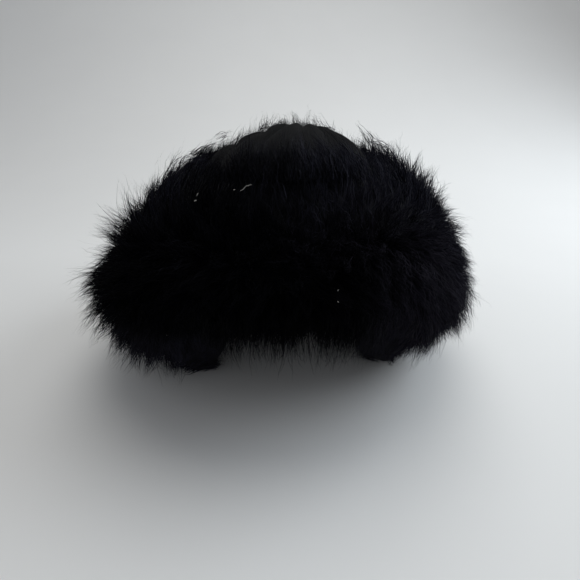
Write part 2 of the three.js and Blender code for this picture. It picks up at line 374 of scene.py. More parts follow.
# How far the hair reaches at each of those places, by its share of the way up from the rim to the crest.
FUR_SECTIONS = {
    0.0: (26, 14, 30, 46, 52, 64, 24, 10),
    0.1: (44, 53, 57, 70, 68, 84, 68, 38),
    0.2: (61, 70, 71, 84, 79, 93, 83, 63),
    0.3: (73, 80, 79, 89, 86, 99, 91, 77),
    0.4: (80, 85, 82, 93, 89, 101, 97, 87),
    0.5: (82, 85, 84, 85, 87, 91, 96, 90),
    0.6: (78, 79, 79, 75, 80, 84, 90, 88),
    0.7: (69, 68, 70, 66, 66, 60, 70, 78),
    0.8: (54, 52, 51, 46, 44, 29, 44, 58),
    0.9: (30, 27, 21, 19, 17, 4, 15, 28),
    1.0: (-10, -8, -8, -8, -10, -14, -12, -8),
}
UNDERFUR_DEPTH = 19
THIN_UNDERFUR = {"at": 280, "along": 0.64, "wide": 40, "tall": 0.13, "deeper": 9}
UNDERFUR_BANDS = {"sunk": 0.06, "foot": 0.08, "uneven": 0.2, "top": 0.9}
UNDERFUR_LUMPS = {"seed": 3, "amount": 2.0, "finer": 1}
FRINGE_LUMPS = {"seed": 4, "amount": 3.5, "finer": 4}
LUMP_WAVES = {"count": 9, "around": (3, 17), "up": (6, 26), "phase": 6.3, "weight": (0.4, 1), "evened": 3}
TURNS = 288
LINE_STEPS = 97
CURVE_STEPS = 16
BACK_RINGS = 8
FOOT_RINGS = 7
FUR_BLACK = (0.0003, 0.0003, 0.0004)
# The colours of the light painted on the hair, a cool grey and a plum grey, over its black.
FUR_PAINTED_LIGHT_GREY = (0.0165, 0.0168, 0.0250)
FUR_PAINTED_LIGHT_PLUM = (0.0172, 0.0160, 0.0230)
# Ranges for the painted light on the hair, on the wearer's left, on its top and low down, its random patches
# and colour cast, and for its roughness.
FUR_PAINTED_LIGHT_AND_ROUGHNESS = {
    "side": (0.05, 0.15, 0, 2.2),
    "left_of_top": (0.0, 0.07, 0.2, 1.7),
    "right_of_top": (-0.06, -0.09, 0.2, 0.7),
    "top": (0.15, 0.205, 0, 1),
    "low": (0.085, 0.03, 0, 1.8),
    "patches": (0.35, 0.65, 0.5, 1),
    "cast": (0.4, 0.6, 0, 1),
    "roughness": (0.3, 0.7, 0.42, 0.62),
}
FUR_NOISE = {"patches": (18, 2), "cast": (7, 1), "fine": (900, 3)}
FUR_SHARES = {"tip": 0.12, "tint": 5.0, "painted_light": 0.85, "even": 0.2}
FUR_POWERS = {"tip": 2.0, "tint": 3.0}
FUR_FINISH = {
    "Specular Tint": (0.80, 0.82, 1.0, 1),
    "Sheen Roughness": 0.4,
    "Sheen Tint": (0.75, 0.78, 1.0, 1),
}
FUR_BUMP_STRENGTH = 0.7


def fur_back(turn, z):
    """The cuff's inner skin, which lies close round the cap."""
    share = dome_share(z, CAP_TOP + CROWN_RIB)
    out = KNIT + RIB + CLEAR
    x = np.sin(turn) * (OPENING_HALF[0] + out) * share + CROWN_LEAN * (1 - share)
    y = -np.cos(turn) * (OPENING_HALF[1] + out) * share
    return np.stack(np.broadcast_arrays(x, y, z), axis=-1)


def fur_point(turn, out, height):
    x = np.sin(turn) * (OPENING_HALF[0] + KNIT + RIB + out)
    y = -np.cos(turn) * (OPENING_HALF[1] + KNIT + RIB + out)
    crest = CREST + BACK_RISE * y
    rim = rim_height(turn)
    return np.stack(np.broadcast_arrays(x, y, rim + (crest - rim) * height), axis=-1)


def fur_thickness(turn, at_places):
    """Thickness round the whole cuff in one section, eased from each place to the next."""
    angle = np.degrees(turn) % 360
    thickness = np.zeros_like(angle)
    for k, (start, end) in enumerate(zip(FUR_PLACES, FUR_PLACES[1:])):
        first, second = at_places[k], at_places[(k + 1) % len(at_places)]
        here = (angle >= start) & (angle < end)
        thickness[here] = (first + (second - first) * smooth_step(angle, start, end))[here]
    return thickness


def even_steps(points, steps):
    """A smooth line through the points, cut into equal lengths. The last axis is x, y and z."""
    ends = (2 * points[:1] - points[1:2], 2 * points[-1:] - points[-2:-1])
    p = np.concatenate([ends[0], points, ends[1]])
    t = np.linspace(0, 1, CURVE_STEPS + 1)[:-1][:, None, None, None]
    a, b, c, d = p[:-3], p[1:-2], p[2:-1], p[3:]
    fine = 0.5 * (2 * b + (c - a) * t + (2 * a - 5 * b + 4 * c - d) * t**2 + (3 * b - a - 3 * c + d) * t**3)
    fine = np.concatenate([fine.transpose(1, 0, 2, 3).reshape(-1, *points.shape[1:]), points[-1:]])
    passed = np.cumsum(np.linalg.norm(np.diff(fine, axis=0), axis=-1), axis=0)
    lengths = np.concatenate([np.zeros((1, points.shape[1])), passed])
    line = np.empty((steps, points.shape[1], 3))
    for i in range(points.shape[1]):
        wanted = np.linspace(0, lengths[-1, i], steps)
        for axis in range(3):
            line[:, i, axis] = np.interp(wanted, lengths[:, i], fine[:, i, axis])
    return line


def lumps(turn, along, seed, amount, finer):
    """Soft unevenness over the cuff, from -amount to amount, which closes up all the way round."""
    own_chance = np.random.default_rng(seed)
    total = 0
    for _ in range(LUMP_WAVES["count"]):
        around = own_chance.integers(*LUMP_WAVES["around"]) * finer
        up = own_chance.uniform(*LUMP_WAVES["up"]) * finer
        wave = np.sin(around * turn + up * along + own_chance.uniform(0, LUMP_WAVES["phase"]))
        total = total + wave * own_chance.uniform(*LUMP_WAVES["weight"])
    return amount * np.clip(total / LUMP_WAVES["evened"], -1, 1)


turns = np.linspace(0, 2 * math.pi, TURNS, endpoint=False)
sections = np.array(
    [fur_point(turns, fur_thickness(turns, reach), height) for height, reach in FUR_SECTIONS.items()]
)
tips_of_fur = even_steps(sections, LINE_STEPS)
core_of_fur = fur_point(turns, FUR_CORE["out"], FUR_CORE["height"])
top_height = CUFF_TOP + BACK_RISE * fur_back(turns, CUFF_TOP)[:, 1]
foot_edge = fur_point(turns, FOOT_SHARE * fur_thickness(turns, FUR_SECTIONS[0.0]), 0)
ragged = FRINGE_LUMPS["amount"] + lumps(turns, 0.0, **FRINGE_LUMPS)
foot_edge[:, 2] += ragged * rim_height(turns) / ARCH["height"]
top_edge = fur_back(turns, top_height)
along = np.linspace(0, 1, LINE_STEPS)[:, None, None]
towards_core = core_of_fur - tips_of_fur
towards_core /= np.linalg.norm(towards_core, axis=-1, keepdims=True)
thin_turn = np.degrees(turns)[None, :, None] - THIN_UNDERFUR["at"]
thin = np.exp(-((thin_turn / THIN_UNDERFUR["wide"]) ** 2))
thin = thin * np.exp(-(((along - THIN_UNDERFUR["along"]) / THIN_UNDERFUR["tall"]) ** 2))
sunk = smooth_step(along, 0, UNDERFUR_BANDS["sunk"])
underfur_line = tips_of_fur + towards_core * (UNDERFUR_DEPTH * sunk + THIN_UNDERFUR["deeper"] * thin)
near_foot = 1 - smooth_step(along, 0, UNDERFUR_BANDS["foot"])
near_top = smooth_step(along, UNDERFUR_BANDS["top"], 1)
underfur_line = underfur_line * (1 - near_foot) + foot_edge * near_foot
underfur_line = underfur_line * (1 - near_top) + top_edge * near_top


def underfur_rings():
    """The rings of the underfur: its foot, its outside with soft lumps, and its back against the cap."""
    foot_inner = fur_back(turns, rim_height(turns))
    rings = [foot_inner + (foot_edge - foot_inner) * share for share in np.linspace(0, 1, FOOT_RINGS)[:-1]]
    uneven = lumps(turns[None, :], along[..., 0], **UNDERFUR_LUMPS)[..., None]
    uneven = uneven * smooth_step(along, UNDERFUR_BANDS["foot"], UNDERFUR_BANDS["uneven"])
    rings += list(underfur_line + towards_core * uneven * (1 - near_top))
    for down in np.linspace(0, 1, BACK_RINGS)[1:-1]:
        rings.append(fur_back(turns, top_height + (CAP_SHOULDER - top_height) * down))
    for down in np.linspace(0, 1, BACK_RINGS)[:-1]:
        rings.append(fur_back(turns, CAP_SHOULDER + (rim_height(turns) - CAP_SHOULDER) * down))
    return np.array(rings)


rings = underfur_rings()
points = rings.reshape(-1, 3)
faces = quads_between(len(rings) + 1, TURNS) % len(points)
underfur = piece_from("underfur", in_frame(points), faces)


def fur_look_group():
    """Black hair with painted light: painted cool grey on top, low down and on the wearer's left, and a
    little paler at its tips.
    """
    group, given, result = new_group(
        "fur_look",
        [("Tip", "NodeSocketFloat", 0.0), ("Tint", "NodeSocketFloat", 0.5)],
        [("Color", "NodeSocketColor"), ("Roughness", "NodeSocketFloat"), ("Height", "NodeSocketFloat")],
    )
    place = group.nodes.new("ShaderNodeSeparateXYZ")
    group.links.new(group.nodes.new("ShaderNodeTexCoord").outputs["Object"], place.inputs[0])
    # Painted light: the hair is painted pale cool grey towards the wearer's left, on its top and low down,
    # where light falls on it, more in random patches.
    side = ranged(group, place.outputs["X"], *FUR_PAINTED_LIGHT_AND_ROUGHNESS["side"])
    left_of_top = ranged(group, place.outputs["X"], *FUR_PAINTED_LIGHT_AND_ROUGHNESS["left_of_top"])
    right_of_top = ranged(group, place.outputs["X"], *FUR_PAINTED_LIGHT_AND_ROUGHNESS["right_of_top"])
    top = ranged(group, place.outputs["Z"], *FUR_PAINTED_LIGHT_AND_ROUGHNESS["top"])
    top = math_node(group, "MULTIPLY", top, math_node(group, "MAXIMUM", left_of_top, right_of_top))
    low = ranged(group, place.outputs["Z"], *FUR_PAINTED_LIGHT_AND_ROUGHNESS["low"])
    patches = ranged(group, noise_node(group, *FUR_NOISE["patches"]), *FUR_PAINTED_LIGHT_AND_ROUGHNESS["patches"])
    most = math_node(group, "MAXIMUM", math_node(group, "MAXIMUM", side, top), low)
    painted_light = math_node(group, "MULTIPLY", math_node(group, "MULTIPLY", most, patches), FUR_SHARES["painted_light"])
    # Painted light through the hair's tips: each strand is painted a little paler towards its tip.
    near_tip = math_node(group, "POWER", given.outputs["Tip"], FUR_POWERS["tip"])
    painted_tip_light = math_node(group, "MULTIPLY", near_tip, FUR_SHARES["tip"])
    few_tinted = math_node(group, "POWER", given.outputs["Tint"], FUR_POWERS["tint"])
    tinted = math_node(group, "MULTIPLY", few_tinted, FUR_SHARES["tint"])
    lit = math_node(group, "ADD", painted_light, painted_tip_light)
    share = math_node(group, "MULTIPLY", lit, math_node(group, "ADD", tinted, FUR_SHARES["even"]))
    cast = ranged(group, noise_node(group, *FUR_NOISE["cast"]), *FUR_PAINTED_LIGHT_AND_ROUGHNESS["cast"])
    pale = blend_colours(group, cast, FUR_PAINTED_LIGHT_GREY, FUR_PAINTED_LIGHT_PLUM)
    group.links.new(blend_colours(group, share, FUR_BLACK, pale), result.inputs["Color"])
    fine = noise_node(group, *FUR_NOISE["fine"])
    group.links.new(ranged(group, fine, *FUR_PAINTED_LIGHT_AND_ROUGHNESS["roughness"]), result.inputs["Roughness"])
    group.links.new(fine, result.inputs["Height"])
    return group


FUR_LOOK = fur_look_group()


def fur_material(name, tip, tint, bump_depth, specular, sheen):
    """Hair whose tip and tint are each a number, or the name of the numbers at its mesh's points."""
    material, tree, shader = new_material(name)
    look = tree.nodes.new("ShaderNodeGroup")
    look.node_tree = FUR_LOOK
    for label, value in (("Tip", tip), ("Tint", tint)):
        if isinstance(value, str):
            tree.links.new(number_from(tree, value), look.inputs[label])
        else:
            look.inputs[label].default_value = value
    tree.links.new(look.outputs["Color"], shader.inputs["Base Color"])
    tree.links.new(look.outputs["Roughness"], shader.inputs["Roughness"])
    set_finish(shader, {"Specular IOR Level": specular, "Sheen Weight": sheen, **FUR_FINISH})
    add_bump(tree, shader, look.outputs["Height"], FUR_BUMP_STRENGTH, bump_depth)
    return material


# The underfur gets the same painted light as the long hair, weaker, and none at its tips.
underfur_black = fur_material(
    "underfur_black", tip=0.0, tint=0.2, bump_depth=0.0012, specular=0.03, sheen=0.0
)
underfur.data.materials.append(underfur_black)
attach(underfur, "root")
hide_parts("fur_cuff")

# The long hair, in wavy locks that stand out all over the cuff and sag a little at their tips.
# Each lock is a bunch of tapering strands, and neighbouring locks draw together in tufts. The tufts are open
# and ragged on the wearer's right, along the cuff's top and at its lower front corners, and close elsewhere.
LOCK_SPACING = 6.9
TUFT_SPACING = 13
PLACE_STRAY = 0.45
TUFT_DRAW = {"close": 0.74, "open": 0.88}
TUFT_REACH = {"close": 1.8, "open": 5.0}
SHORTEST_STRAND = {"close": 0.55, "open": 0.22}
LONGEST_STRAND = 1.08
FEW_LONG = {"close": 1.1, "open": 2.8}
TIP_STRAY = {"close": 1.25, "open": 1.0}
HAIR_TRIM = 2
OPEN_EXTRA = 19
# Each place is at a turn and a share of the way along the cuff's section, and fades over its own size.
OPEN_HAIR = [
    {"at": 290, "along": 0.74, "wide": 60, "tall": 0.22, "share": 1.0},
    {"at": 0, "along": 0.95, "wide": 60, "tall": 0.15, "share": 0.5},
    {"at": 180, "along": 0.85, "wide": 60, "tall": 0.25, "share": 0.7},
    {"at": 80, "along": 0.88, "wide": 30, "tall": 0.12, "share": 0.8},
    {"at": 298, "along": 0.13, "wide": 34, "tall": 0.14, "share": 0.8},
    {"at": 292, "along": 0.36, "wide": 34, "tall": 0.12, "share": 0.55},
    {"at": 60, "along": 0.12, "wide": 25, "tall": 0.12, "share": 0.5},
]
UNEVEN_HAIR = [
    {"at": 276, "along": 0.458, "wide": 9, "tall": 0.02, "shorter": 24, "turned": 0.6},
    {"at": 286, "along": 0.513, "wide": 9, "tall": 0.02, "shorter": 27, "turned": 0.6},
    {"at": 296, "along": 0.561, "wide": 9, "tall": 0.02, "shorter": 25, "turned": 0.6},
    {"at": 306, "along": 0.598, "wide": 9, "tall": 0.02, "shorter": 20, "turned": 0.6},
    {"at": 286, "along": 0.465, "wide": 10, "tall": 0.022, "shorter": -10, "turned": 0},
    {"at": 298, "along": 0.52, "wide": 10, "tall": 0.022, "shorter": -10, "turned": 0},
    {"at": 250, "along": 0.92, "wide": 22, "tall": 0.06, "shorter": 14, "turned": 0},
    {"at": 290, "along": 0.60, "wide": 30, "tall": 0.07, "shorter": 5, "turned": 0},
    {"at": 72, "along": 0.60, "wide": 26, "tall": 0.10, "shorter": 4, "turned": 0},
    {"at": 66, "along": 0.50, "wide": 14, "tall": 0.03, "shorter": 5, "turned": 0},
    {"at": 60, "along": 0.36, "wide": 30, "tall": 0.11, "shorter": -11, "turned": 0},
    {"at": 290, "along": 0.24, "wide": 22, "tall": 0.09, "shorter": -8, "turned": 0},
    {"at": 290, "along": 0.80, "wide": 35, "tall": 0.14, "shorter": 13, "turned": 0},
    {"at": 66, "along": 0.46, "wide": 25, "tall": 0.10, "shorter": -4, "turned": 0},
    {"at": 284, "along": 0.98, "wide": 24, "tall": 0.07, "shorter": 7, "turned": 0},
    {"at": 86, "along": 0.90, "wide": 25, "tall": 0.09, "shorter": -8, "turned": 0},
    {"at": 5, "along": 0.03, "wide": 32, "tall": 0.08, "shorter": 11, "turned": 0},
    {"at": 8, "along": 0.08, "wide": 4, "tall": 0.10, "shorter": 9, "turned": 0},
    {"at": 312, "along": 0.0, "wide": 14, "tall": 0.07, "shorter": 9, "turned": 0},
    {"at": 58, "along": 0.0, "wide": 16, "tall": 0.07, "shorter": 10, "turned": 0},
]
HAIR_SAG = {"wearers_left": 0.045, "wearers_right": -0.005}
SIDE_LEAN = [
    {"at": 282, "along": 0.68, "wide": 32, "tall": 0.10, "down": 0.045},
    {"at": 68, "along": 0.68, "wide": 34, "tall": 0.12, "down": 0.06},
]
TIP_LUMPS = {
    "up": [{"seed": 5, "amount": 0.040, "finer": 1}, {"seed": 6, "amount": 0.022, "finer": 4}],
    "round": [{"seed": 8, "amount": 0.08, "finer": 1}, {"seed": 9, "amount": 0.045, "finer": 4}],
}
HAIR_HANG = 150
LOWEST_HAIR = 0.4
HIGHEST_HAIR = 237
PRESSED_HAIR = {"deepest": 12, "outward": 0.4}
CREST_LIFT = {"front": 5, "back": 4, "side": 2}
CREST_LEAN = {"front": 38, "back": 34, "side": 18}
CREST_DROP = 14
CREST_NARROW = 4
CREST_BANDS = {"lift": (0.78, 0.95), "drop": (0.93, 1.03), "lean": (0.84, 1.02)}
STRANDS = 15
HAIR_ROOT_DEPTH = 5
LOCK_ROOT_WIDTH = 7.0
LOCK_TIP_WIDTH = {"close": 1.7, "open": 1.3}
HAIR_WIDTHS = (0.66, 0.60, 0.43, 0.27, 0.13)
WIDTH_UNEVEN = (0.75, 1.2)
HAIR_STATIONS = (0.0, 0.34, 0.56, 0.74, 0.88, 1.0)
HAIR_WAVE = {"close": 1.7, "open": 0.9}
HAIR_BOW = {"out": 0.10, "aside": 0.04}
CURL = {"pitch": (8, 16), "apart": 1.5, "flatness": 0.6, "growth": 0.7}
STRAYS = {"share": 0.04, "spread": 2.0, "reach": (0.9, 1.2)}
FINE_STRAND = {"width": 0.5, "reach": (0.7, 1.1)}
LOCK_TINT = 0.6
HAIR_SEED = 11
HAIR_PIECES = 5
LOCK_BATCHES = 20

chance = np.random.default_rng(HAIR_SEED)


def on_lines(lines, turn, along):
    """Points at a turn and a share of the way along, between the lines of a grid."""
    column = (np.asarray(turn) / (2 * math.pi) * TURNS) % TURNS
    row = np.clip(along, 0, 1) * (LINE_STEPS - 1)
    i, k = np.floor(column).astype(int) % TURNS, np.minimum(row.astype(int), LINE_STEPS - 2)
    u, v = (column - np.floor(column))[..., None], (row - k)[..., None]
    j = (i + 1) % TURNS
    low = lines[k, i] * (1 - u) + lines[k, j] * u
    high = lines[k + 1, i] * (1 - u) + lines[k + 1, j] * u
    return low * (1 - v) + high * v


def spread_places(spacing):
    """Places all over the cuff, in even rows up its section with as many round each row as fit."""
    length = np.linalg.norm(np.diff(tips_of_fur, axis=0), axis=-1).sum(axis=0).mean()
    rows = int(length / spacing)
    turn, along = [], []
    for row in range(rows):
        share = (row + 0.5) / rows
        ring = on_lines(tips_of_fur, turns, np.full(TURNS, share))
        around = np.linalg.norm(ring - np.roll(ring, 1, axis=0), axis=-1)
        count = int(around.sum() / spacing)
        reach = np.concatenate([[0], np.cumsum(around)])
        spots = (np.arange(count) + chance.uniform(-PLACE_STRAY, PLACE_STRAY, count)) / count % 1
        turn.append(np.interp(spots * reach[-1], reach, np.linspace(0, 2 * math.pi, TURNS + 1)))
        along.append(share + chance.uniform(-PLACE_STRAY, PLACE_STRAY, count) / rows)
    return np.concatenate(turn), np.clip(np.concatenate(along), 0, 1)


def unit(vectors):
    return vectors / np.maximum(np.linalg.norm(vectors, axis=-1, keepdims=True), 1e-9)


def off_place(turn, along, place):
    """How far off a place's middle the points are, round and along, in its widths and heights."""
    round_it = ((np.degrees(turn) - place["at"] + 180) % 360 - 180) / place["wide"]
    return round_it, (along - place["along"]) / place["tall"]


def uneven(turn, along):
    """Where the hair opens at a parting or is cut unevenly: how far each lock turns, and how short it is."""
    turned, shorter = np.zeros_like(turn), np.zeros_like(turn)
    for place in UNEVEN_HAIR:
        off, up = off_place(turn, along, place)
        near = np.exp(-(off**2))
        turned += near * up * np.exp(-(up**2) / 2) * place["tall"] * place["turned"]
        shorter += near * np.exp(-(up**2)) * place["shorter"]
    return turned, shorter


def openness(turn, along):
    """0 where the hair is close and even, up to 1 where it stands out in long open tufts."""
    share = np.zeros_like(turn)
    for place in OPEN_HAIR:
        off, up = off_place(turn, along, place)
        share = np.maximum(share, place["share"] * np.exp(-(off**2) - up**2))
    return share


def between_two(pair, share):
    return pair["close"] + (pair["open"] - pair["close"]) * share


def crest_moves(turn, along):
    """How the hair at the cuff's top edge is brushed up and in over the crown, most of all in front."""
    front = np.maximum(0, np.cos(turn)) ** CREST_NARROW
    back = np.maximum(0, -np.cos(turn)) ** CREST_NARROW
    up, lean = (
        part["side"] + (part["front"] - part["side"]) * front + (part["back"] - part["side"]) * back
        for part in (CREST_LIFT, CREST_LEAN)
    )
    lift, drop, leaning = (smooth_step(along, *CREST_BANDS[band]) for band in ("lift", "drop", "lean"))
    up = up * lift - CREST_DROP * drop
    lean = lean * leaning
    return np.stack([-np.sin(turn) * lean, np.cos(turn) * lean, up], axis=-1)


def lock_tips(turn, along, outward, share):
    turned, shorter = uneven(turn, along)
    to_left = (1 + np.sin(turn)) / 2
    sag = HAIR_SAG["wearers_right"] + (HAIR_SAG["wearers_left"] - HAIR_SAG["wearers_right"]) * to_left
    for place in SIDE_LEAN:
        off, up = off_place(turn, along, place)
        sag = sag + place["down"] * np.exp(-(off**2) - up**2)
    tip_along = along - sag + turned
    for lump in TIP_LUMPS["up"]:
        tip_along = tip_along + lumps(turn, along, **lump)
    tip_turn = turn
    for lump in TIP_LUMPS["round"]:
        tip_turn = tip_turn + lumps(turn, along, **lump)
    tip = on_lines(tips_of_fur, tip_turn, tip_along)
    tip[:, 2] -= np.maximum(0, -tip_along) * HAIR_HANG
    tip += crest_moves(turn, along)
    reach = chance.normal(0, 1, len(turn)) * between_two(TUFT_REACH, share)
    reach = reach - HAIR_TRIM - shorter + OPEN_EXTRA * share
    return tip + outward * reach[:, None]


def outward_at(turn, along):
    column = np.append(turns, 2 * math.pi)
    core = np.concatenate([core_of_fur, core_of_fur[:1]])
    middle = np.stack([np.interp(turn, column, core[:, axis]) for axis in range(3)], axis=-1)
    return unit(on_lines(tips_of_fur, turn, along) - middle)


def locks():
    """Every lock's root, its tip drawn to the nearest tuft's, the way out, and how open it is."""
    tuft_turn, tuft_along = spread_places(TUFT_SPACING)
    tuft_open = openness(tuft_turn, tuft_along)
    tufts = lock_tips(tuft_turn, tuft_along, outward_at(tuft_turn, tuft_along), tuft_open)
    turn, along = spread_places(LOCK_SPACING)
    outward = outward_at(turn, along)
    share = openness(turn, along)
    tip = lock_tips(turn, along, outward, share)
    tuft_feet = on_lines(tips_of_fur, tuft_turn, tuft_along)
    feet = on_lines(tips_of_fur, turn, along)
    nearest = []
    for batch in np.array_split(feet, LOCK_BATCHES):
        nearest.append(((batch[:, None] - tuft_feet) ** 2).sum(axis=-1).argmin(axis=1))
    tip += (tufts[np.concatenate(nearest)] - tip) * between_two(TUFT_DRAW, share)[:, None]
    root = on_lines(underfur_line, turn, along) - outward * HAIR_ROOT_DEPTH
    return root, tip, outward, share


def strands_of(root, tip, outward, share):
    """Every lock's strands: the points at the stations along each, its fineness and its tint."""
    count = len(root)
    side = unit(np.cross(outward, np.array([0.0, 0.0, 1.0]) + 0.01))
    other = np.cross(outward, side)
    angle = chance.uniform(0, 2 * math.pi, (count, STRANDS))
    spread = np.sqrt(chance.uniform(0, 1, (count, STRANDS)))
    a, b = (np.cos(angle) * spread)[..., None], (np.sin(angle) * spread)[..., None]
    fan = a * side[:, None] + b * other[:, None]
    starts = root[:, None] + fan * LOCK_ROOT_WIDTH
    stray = chance.uniform(0, 1, (count, STRANDS, 1)) < STRAYS["share"]
    jitter = chance.normal(0, 1, (count, STRANDS, 3))
    share = np.reshape(share, (-1, 1, 1))
    apart = fan * between_two(LOCK_TIP_WIDTH, share) + jitter * between_two(TIP_STRAY, share)
    ends = tip[:, None] + apart * np.where(stray, STRAYS["spread"], 1.0)
    short = between_two(SHORTEST_STRAND, share)
    longer = chance.uniform(0, 1, stray.shape) ** between_two(FEW_LONG, share)
    usual = short + (LONGEST_STRAND - short) * longer
    reach = np.where(stray, chance.uniform(*STRAYS["reach"], stray.shape), usual)
    fineness = 1 - (1 - FINE_STRAND["width"]) * smooth_step(reach, *FINE_STRAND["reach"])
    ends = starts + (ends - starts) * reach
    line = ends - starts
    length = np.linalg.norm(line, axis=-1, keepdims=True)
    across = unit(np.cross(line, chance.normal(0, 1, (count, STRANDS, 3))))
    beside = unit(np.cross(line, across))
    aside = chance.normal(0, HAIR_BOW["aside"], stray.shape)
    bow = outward[:, None] * HAIR_BOW["out"] * length + across * aside * length
    pitch = chance.uniform(*CURL["pitch"], stray.shape)
    phase = chance.uniform(0, 2 * math.pi, (count, 1, 1)) + chance.uniform(0, CURL["apart"], stray.shape)
    points = []
    for t in HAIR_STATIONS:
        turned = length * t / pitch * 2 * math.pi + phase
        curl = across * np.sin(turned) + beside * CURL["flatness"] * np.cos(turned)
        curl = curl * between_two(HAIR_WAVE, share) * t ** CURL["growth"]
        points.append(starts + line * t + bow * 4 * t * (1 - t) + curl)
    points = np.stack(points, axis=2)
    low = np.minimum(np.maximum(0, LOWEST_HAIR - points[..., 2:]), PRESSED_HAIR["deepest"])
    points += outward[:, None, None] * np.array([1, 1, 0]) * low * PRESSED_HAIR["outward"]
    points[..., 2] = np.clip(points[..., 2], LOWEST_HAIR, HIGHEST_HAIR)
    lock_tint = LOCK_TINT * chance.uniform(0, 1, (count, 1, 1))
    tint = lock_tint + (1 - LOCK_TINT) * chance.uniform(0, 1, stray.shape)
    return points.reshape(-1, len(HAIR_STATIONS), 3), fineness.ravel(), tint.ravel()


def ribbons(points, fineness, widths):
    """Flat tapering strands along the points: the corners, and the faces of one strand after another."""
    count, stations = points.shape[:2]
    direction = unit(np.gradient(points, axis=1))
    edge = unit(np.cross(direction, unit(chance.normal(0, 1, (count, 1, 3)))))
    unevenly = chance.uniform(*WIDTH_UNEVEN, (count, 1, 1))
    half = np.array(widths)[None, :, None] / 2 * fineness[:, None, None] * unevenly
    left = points[:, :-1] - edge[:, :-1] * half
    right = points[:, :-1] + edge[:, :-1] * half
    pairs = np.stack([left, right], axis=2).reshape(count, -1, 3)
    corners = np.concatenate([pairs, points[:, -1:]], axis=1)
    each = corners.shape[1]
    first = np.arange(count)[:, None] * each
    step = first + 2 * np.arange(stations - 2)
    quads = np.stack([step, step + 1, step + 3, step + 2], axis=-1).reshape(-1, 4)
    triangles = np.concatenate([first + each - 3, first + each - 2, first + each - 1], axis=1)
    share = np.append(np.repeat(HAIR_STATIONS[:-1], 2), 1.0)
    return corners.reshape(-1, 3), quads, triangles, np.tile(share, count), each


LONG_HAIR = fur_material(
    "long_black_hair", tip="strand_share", tint="strand_tint", bump_depth=0.0002, specular=0.02, sheen=0.008
)


def hair_piece(name, points, fineness, tint, widths):
    corners, quads, triangles, share, each = ribbons(points, fineness, widths)
    piece = piece_from(name, in_frame(corners), quads, triangles)
    give_numbers(piece, "strand_share", share)
    give_numbers(piece, "strand_tint", np.repeat(tint, each))
    piece.data.materials.append(LONG_HAIR)
    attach(piece, "root")
    return piece


strands, fineness, tint = strands_of(*locks())
order = np.argsort(np.arctan2(strands[:, 0, 0], -strands[:, 0, 1]), kind="stable")
for number, chosen in enumerate(np.array_split(order, HAIR_PIECES), start=1):
    hair_piece(f"long_hair_{number}", strands[chosen], fineness[chosen], tint[chosen], HAIR_WIDTHS)

# Thin wisps of the same hair: those that hang over the arch, open in its middle, those that curl in under the
# cuff's edge at the arch's ends, and the soft haze that stands up from the cuff's top against the crown.
BROW_WISPS = [
    {"from": -24, "to": 4, "count": 210},
    {"from": 9, "to": 28, "count": 150},
    {"from": 2, "to": 11, "count": 16},
]
BROW_ALONG = {"root": 0.22, "root_stray": 0.03, "tip": 0.16, "tip_stray": 0.02}
BROW_TURN_STRAY = 0.03
BROW_ROOT_DEPTH = 12
BROW_HANG = {"least": 2, "most": 24}
CHEEK_WISPS = [{"from": -78, "to": -46, "count": 50}, {"from": 50, "to": 84, "count": 50}]
CHEEK_ROOTS = {"out": (2, 14), "up": 6}
CHEEK_REACH = {"in": 12, "down": 3}
CREST_WISPS = [
    {"from": -24, "to": 34, "count": 230}, {"from": 146, "to": 200, "count": 90},
    {"from": 228, "to": 318, "count": 7}, {"from": 48, "to": 124, "count": 8},
]
CREST_ALONG = {"low": 0.88, "high": 1.0}
CREST_STRAY = 4
CREST_ROOT_DEPTH = 10
CREST_REACH = {"most": 17, "few_long": 2.6, "less_at_sides": 0.7, "behind": 5, "highest": 231}
WISP_OPENNESS = {"brow": 1.0, "cheek": 0.0, "crest": 0.5}
WISP_WIDTHS = (0.42, 0.40, 0.34, 0.26, 0.16)


def scattered(parts):
    """Turns at random in each part of the way round, in radians."""
    turns_of = [chance.uniform(part["from"], part["to"], part["count"]) for part in parts]
    return np.radians(np.concatenate(turns_of))


def brow_locks():
    turn = scattered(BROW_WISPS)
    along = BROW_ALONG["root"] + chance.normal(0, BROW_ALONG["root_stray"], len(turn))
    outward = outward_at(turn, along)
    root = on_lines(tips_of_fur, turn, along) - outward * BROW_ROOT_DEPTH
    tip_along = BROW_ALONG["tip"] + chance.normal(0, BROW_ALONG["tip_stray"], len(turn))
    tip = on_lines(tips_of_fur, turn + chance.normal(0, BROW_TURN_STRAY, len(turn)), tip_along)
    tip[:, 2] -= chance.uniform(BROW_HANG["least"], BROW_HANG["most"], len(turn))
    return root, tip, outward, np.full(len(turn), WISP_OPENNESS["brow"])


def cheek_locks():
    turn = scattered(CHEEK_WISPS)
    edge = fur_back(turn, rim_height(turn))
    outward = unit(edge * np.array([1, 1, 0]))
    root = edge + outward * chance.uniform(*CHEEK_ROOTS["out"], len(turn))[:, None]
    root = root + np.array([0, 0, CHEEK_ROOTS["up"]])
    tip = edge - outward * chance.uniform(0, CHEEK_REACH["in"], len(turn))[:, None]
    tip[:, 2] -= chance.uniform(0, CHEEK_REACH["down"], len(turn))
    return root, tip, -outward, np.full(len(turn), WISP_OPENNESS["cheek"])


